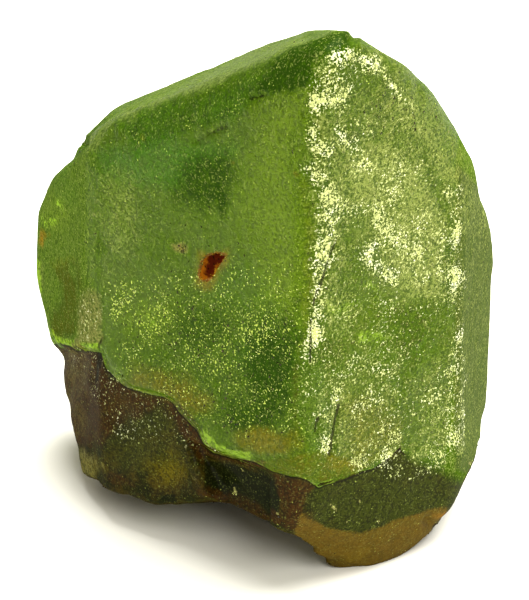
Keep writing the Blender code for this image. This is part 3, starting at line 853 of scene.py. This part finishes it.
def rust_material():
    """The iron stain of the inclusion: maroon above, orange low on the left, a straw-coloured rim
    and black dots."""
    material, g, place = new_material("rusty inclusion")
    rim, low = stored(g, "rim"), stored(g, "low")
    mottle = g.noise(place, 1900, 3, 0.6)
    grain = g.noise(place, 5200, 2, 0.6)
    dots = g.noise(place, 3600, 1, 0.5, 0.4)
    body = g.mix((low + rim * 0.5 + (mottle - 0.5) * 2.0).step(0.62, 1.25), MAROON, ORANGE)
    body = g.mix((rim + (grain - 0.5) * 1.2).step(0.8, 1.0), body, STRAW)
    body = g.mix(dots.step(0.62, 0.68), body, INK)
    relief = {"Strength": 0.7, "Distance": 0.00008, "Height": mottle + grain}
    bump = g.add("ShaderNodeBump", {}, relief)
    sockets = {"Base Color": body, "Roughness": 0.5 + 0.3 * grain, "Specular IOR Level": 0.0}
    shader = g.put("ShaderNodeBsdfPrincipled", {}, {**sockets, "Normal": bump})
    g.put("ShaderNodeOutputMaterial", {}, {"Surface": shader.outputs[0]})
    return material


def mesh_of(thing):
    """The mesh of an object as its modifiers leave it."""
    view = bpy.context.evaluated_depsgraph_get()
    return bpy.data.meshes.new_from_object(thing.evaluated_get(view))


def link(name, mesh):
    """A new object in the scene, at the origin."""
    thing = bpy.data.objects.new(name, mesh)
    bpy.context.scene.collection.objects.link(thing)
    return thing


def finish(thing):
    """Puts a piece under the crystal's body, root, so that it rides with the crystal, and prints how
    many triangles it has.
    """
    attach(thing, "root")
    print(thing.name, "triangles", sum(len(p.vertices) - 2 for p in thing.data.polygons))


def fine_crystal():
    """A copy of the crystal's solid with small even faces."""
    bm = bmesh.new()
    bm.from_mesh(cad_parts["crystal"].data)
    bmesh.ops.remove_doubles(bm, verts=bm.verts, dist=1e-6)
    mesh = bpy.data.meshes.new("crystal skin")
    bm.to_mesh(mesh)
    bm.free()
    thing = link("crystal_skin", mesh)
    remesh = thing.modifiers.new("fine faces", "REMESH")
    remesh.mode = "VOXEL"
    remesh.voxel_size = FINENESS * MM
    remesh.use_smooth_shade = True
    fine = mesh_of(thing)
    thing.modifiers.clear()
    thing.data = fine
    return thing


def field(g, name):
    """A mark that is stored on the surface, in a geometry tree."""
    settings = {"data_type": "FLOAT"}
    return g.add("GeometryNodeInputNamedAttribute", settings, {"Name": name}, "Attribute")


def new_tree(name, sizes):
    """A geometry tree with these sizes as its named inputs, and its values by name."""
    tree = bpy.data.node_groups.new(name, "GeometryNodeTree")
    tree.interface.new_socket("Geometry", in_out="INPUT", socket_type="NodeSocketGeometry")
    for label, value in sizes.items():
        socket = tree.interface.new_socket(label, in_out="INPUT", socket_type="NodeSocketFloat")
        socket.default_value = value
    tree.interface.new_socket("Geometry", in_out="OUTPUT", socket_type="NodeSocketGeometry")
    g = Graph(tree)
    given = g.put("NodeGroupInput").outputs
    return g, given["Geometry"], {label: Value(g, given[label]) for label in sizes}


def etch_tree():
    """Rounds the corners, then raises and lowers the surface: swells, etch pits, crust under frost,
    shells, cracks, dents and bulges. Nothing goes below the floor."""
    sizes = {name: value * MM for name, value in RELIEF.items()}
    g, geometry, size = new_tree("etching", sizes)
    place = g.add("GeometryNodeInputPosition")
    blurred = g.add(
        "GeometryNodeBlurAttribute",
        {"data_type": "FLOAT_VECTOR"},
        {"Value": place, "Iterations": ROUNDING_STEPS, "Weight": field(g, "round")},
    )
    geometry = g.add("GeometryNodeSetPosition", {}, {"Geometry": geometry, "Position": blurred})
    under = field(g, "under").step(0.45, 0.6)
    swell = g.noise(place, size["Swell Size"] ** -1, 3) - 0.5
    cells = g.add(
        "ShaderNodeTexVoronoi",
        {"feature": "SMOOTH_F1"},
        {"Vector": place, "Scale": size["Pit Size"] ** -1, "Smoothness": 0.6},
    )
    some = g.noise(place, PIT_PATCHES, 2).step(0.45, 0.65)
    crust = g.noise(place, size["Crust Size"] ** -1, 3, 0.6) - 0.42
    shells = g.add(
        "ShaderNodeTexWave",
        {"wave_type": "RINGS", "rings_direction": "SPHERICAL"},
        {"Vector": place, "Scale": SHELLS, "Distortion": 5, "Detail": 2, "Detail Scale": 1.2},
    )
    height = (
        swell * size["Swell Height"] * 2
        - (0.45 - cells) * some * size["Pit Depth"] * (1 - under * 0.7) * (1.12 - field(g, "round"))
        + crust * field(g, "frost") * size["Crust Height"] * 2
        + (shells - 0.5) * under * size["Shell Height"] * 2
        + size["Thickening"]
        - field(g, "crack") * size["Crack Depth"]
        - field(g, "dent") * size["Dent Depth"]
    )
    normal = g.add("GeometryNodeInputNormal")
    offset = g.add("ShaderNodeVectorMath", {"operation": "SCALE"}, {0: normal, "Scale": height})
    moved = g.add("GeometryNodeSetPosition", {}, {"Geometry": geometry, "Offset": offset})
    place = g.add("GeometryNodeInputPosition")
    settled = g.add("ShaderNodeVectorMath", {"operation": "MAXIMUM"}, {0: place, 1: (-1, -1, 0)})
    resting = g.add("GeometryNodeSetPosition", {}, {"Geometry": moved, "Position": settled})
    g.put("NodeGroupOutput", {}, {"Geometry": resting})
    return g.tree


def grains_tree(name, sizes, amount, seed, material):
    """Small blocky grains that stand on the surface, thicker where the field amount(g) is higher."""
    g, geometry, size = new_tree(name, sizes)
    scattered = g.put(
        "GeometryNodeDistributePointsOnFaces",
        {"distribute_method": "RANDOM"},
        {"Mesh": geometry, "Density": amount(g) * size["Grains per Area"], "Seed": seed},
    )
    grain = g.add("GeometryNodeMeshIcoSphere", {}, {"Radius": size["Grain Radius"], "Subdivisions": 1})
    turned = {"Min": (0, 0, 0), "Max": (6.28, 6.28, 6.28), "Seed": seed + 1}
    spread = {"Min": (0.35, 0.35, 0.25), "Max": (1.3, 1.0, 0.7), "Seed": seed + 2}
    turn = g.add("FunctionNodeRandomValue", {"data_type": "FLOAT_VECTOR"}, turned)
    scale = g.add("FunctionNodeRandomValue", {"data_type": "FLOAT_VECTOR"}, spread)
    sockets = {"Points": scattered.outputs["Points"], "Instance": grain}
    sockets.update({"Rotation": turn, "Scale": scale})
    placed = g.add("GeometryNodeInstanceOnPoints", {}, sockets)
    real = g.add("GeometryNodeRealizeInstances", {}, {"Geometry": placed})
    done = g.add("GeometryNodeSetMaterial", {}, {"Geometry": real, "Material": material})
    g.put("NodeGroupOutput", {}, {"Geometry": done})
    return g.tree


def scatter(crystal, name, tree):
    """A piece of its own from the grains that a tree scatters over the crystal."""
    grow = crystal.modifiers.new(name, "NODES")
    grow.node_group = tree
    mesh = mesh_of(crystal)
    crystal.modifiers.clear()
    for mark in MARKS + ("dent", "round"):
        if mark in mesh.attributes:
            mesh.attributes.remove(mesh.attributes[mark])
    finish(link(name, mesh))


def store(mesh, fields):
    """Keeps values, one for each vertex, on the mesh by name."""
    for name, values in fields.items():
        data = mesh.attributes.new(name, "FLOAT", "POINT").data
        data.foreach_set("value", values.astype(np.float32))


def make_crystal():
    """The crystal's skin: fine faces, with its marks stored on them, then etched."""
    crystal = fine_crystal()
    store(crystal.data, marks(Skin(crystal.data)))
    etch = crystal.modifiers.new("etching", "NODES")
    etch.node_group = etch_tree()
    etched = mesh_of(crystal)
    crystal.modifiers.clear()
    crystal.data = etched
    crystal.data.materials.clear()
    crystal.data.materials.append(crystal_material())
    return crystal


def make_grains(crystal):
    """The frost's crystals; pale flecks, which are painted glints, mostly on the left face, and the
    pale crumbs; and the black grains.
    """

    def frosted(g):
        place = g.add("GeometryNodeInputPosition")
        patches = g.noise(place, 650, 3, 0.6) * 0.55 + g.noise(place, 1500, 3, 0.6) * 0.45
        return field(g, "frost").step(0.2, 1.0) * patches.step(0.47, 0.6)

    def glinting(g):
        place = g.add("GeometryNodeInputPosition")
        patches = g.noise(place, 900, 3, 0.6)
        shining = field(g, "glint").step(0.25, 1.0) * patches.step(0.45, 0.65)
        return shining + field(g, "crumbs").step(0.3, 0.8)

    def speckled(g):
        return field(g, "specks").step(0.04, 1.0)

    # Name, where they lie, grains per square millimetre, radius, seed, two colours, roughness.
    for name, amount, number, radius, seed, first, second, roughness in (
        ("frost grains", frosted, 75, 0.062, 3, FROST, YELLOW_FROST, 0.35),
        # Painted glints: pale grains that stand in for sparkle, together with the pale crumbs.
        ("glint and crumb flecks", glinting, 30, 0.045, 5, GLINT, PALE_GLINT, 0.3),
        ("black grains", speckled, 5, 0.075, 7, BLACK, BROWN_BLACK, 0.4),
    ):
        sizes = {"Grains per Area": number / MM**2, "Grain Radius": radius * MM}
        material = grain_material(name, first, second, roughness)
        scatter(crystal, name.replace(" ", "_"), grains_tree(name, sizes, amount, seed, material))


def make_rust():
    """The rusty inclusion: a low leaf-shaped lump that fills its pit in the left front face."""
    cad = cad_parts["crystal"].data
    corners = [v.co.copy() for v in cad.vertices]
    solid = BVHTree.FromPolygons(corners, [tuple(p.vertices) for p in cad.polygons])
    rays = []
    for x, y in RUST_LEAF:
        way = Vector(((x - WIDTH / 2) / FOCAL, 0, 0)) - UP * ((y - HEIGHT / 2) / FOCAL) - BACK
        rays.append(solid.ray_cast(EYE * MM, way))
    out = min(rays, key=lambda hit: hit[3])[1]
    rim = [hit[0] for hit in rays]
    middle = sum(rim, Vector()) / len(rim)
    rim = [point + out * (middle - point).dot(out) for point in rim]
    smooth = []
    for k, point in enumerate(rim):
        after = rim[(k + 1) % len(rim)]
        smooth += [point, point.lerp(after, 0.33), point.lerp(after, 0.67)]
    ragged = 1 + 0.09 * clouds(np.array(smooth) / MM, 0.22, 43)
    smooth = [middle + (point - middle) * float(share) for point, share in zip(smooth, ragged)]
    bm = bmesh.new()
    heart = Vector((0.04, 0.02, -0.02)) * MM
    rings = []
    for reach, rise in RUST_RINGS:
        centre = middle + heart * (1 - reach) + out * rise * MM
        rings.append([bm.verts.new(centre + (point - middle) * reach) for point in smooth])
    top = bm.verts.new(middle + heart + out * 0.12 * MM)
    count = len(smooth)
    for lower, upper in zip(rings, rings[1:]):
        for k in range(count):
            bm.faces.new((lower[k], lower[(k + 1) % count], upper[(k + 1) % count], upper[k]))
    for k in range(count):
        bm.faces.new((rings[-1][k], rings[-1][(k + 1) % count], top))
    bm.faces.new(rings[0])
    bmesh.ops.recalc_face_normals(bm, faces=bm.faces)
    mesh = bpy.data.meshes.new("rust inclusion")
    bm.to_mesh(mesh)
    bm.free()
    thing = link("rust_inclusion", mesh)
    finer = thing.modifiers.new("finer", "SUBSURF")
    finer.levels = finer.render_levels = 1
    mesh = mesh_of(thing)
    thing.modifiers.clear()
    thing.data = mesh
    points = np.array([v.co for v in mesh.vertices]) / MM
    flat = points - np.array(middle) / MM
    flat -= np.outer(flat @ np.array(out), np.array(out))
    lumps = 0.05 * clouds(points, 0.5, 41)
    moved = (points + np.outer(lumps, np.array(out))) * MM
    mesh.vertices.foreach_set("co", moved.ravel())
    edge = np.array([(point - middle).length / MM for point in smooth])
    bearing = np.array([math.atan2((p - middle).dot(UP), (p - middle).x) for p in smooth])
    order = np.argsort(bearing)
    turned = np.arctan2(flat @ np.array(UP), flat[:, 0])
    limit = np.interp(turned, bearing[order], edge[order], period=2 * math.pi)
    down_left = -(flat @ np.array(UP)) - flat[:, 0]
    low = np.clip(0.5 + 0.5 * down_left / np.abs(down_left).max(), 0, 1)
    store(mesh, {"rim": np.clip(np.linalg.norm(flat, axis=1) / limit, 0, 1), "low": low})
    mesh.shade_smooth()
    mesh.materials.append(rust_material())
    finish(thing)


def lamp(name, place, aim, size, power, colour):
    """A round area light at a place in metres, turned to its aim."""
    light = bpy.data.lights.new(name, "AREA")
    light.shape = "DISK"
    light.size = size
    light.energy = power
    light.color = colour
    thing = bpy.data.objects.new(name, light)
    bpy.context.scene.collection.objects.link(thing)
    thing.location = place
    thing.rotation_euler = (Vector(aim) - Vector(place)).to_track_quat("-Z", "Y").to_euler()


def studio():
    """Pale paper under the crystal, a bright warm room, and two soft lights."""
    bm = bmesh.new()
    bmesh.ops.create_grid(bm, x_segments=1, y_segments=1, size=3)
    mesh = bpy.data.meshes.new("floor")
    bm.to_mesh(mesh)
    bm.free()
    floor = link("floor", mesh)
    white = bpy.data.materials.new("pale paper")
    white.use_nodes = True
    shader = white.node_tree.nodes["Principled BSDF"]
    shader.inputs["Base Color"].default_value = PAPER
    shader.inputs["Roughness"].default_value = 0.8
    mesh.materials.append(white)

    world = bpy.data.worlds.new("studio")
    bpy.context.scene.world = world
    world.use_nodes = True
    room = world.node_tree.nodes["Background"]
    room.inputs["Color"].default_value = ROOM_COLOUR
    room.inputs["Strength"].default_value = ROOM_STRENGTH
    lamp("key", (0.3, 0.16, 1.3), (0, 0, 0.01), 1.3, 48, (1, 0.985, 0.94))
    lamp("fill", (0.5, -1.2, 1.1), (0, 0, 0.015), 1.0, 18, (1, 0.975, 0.92))
    bpy.context.scene.view_settings.view_transform = "Standard"


make_camera()
crystal = make_crystal()
make_grains(crystal)
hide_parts("crystal")
finish(crystal)
make_rust()
studio()
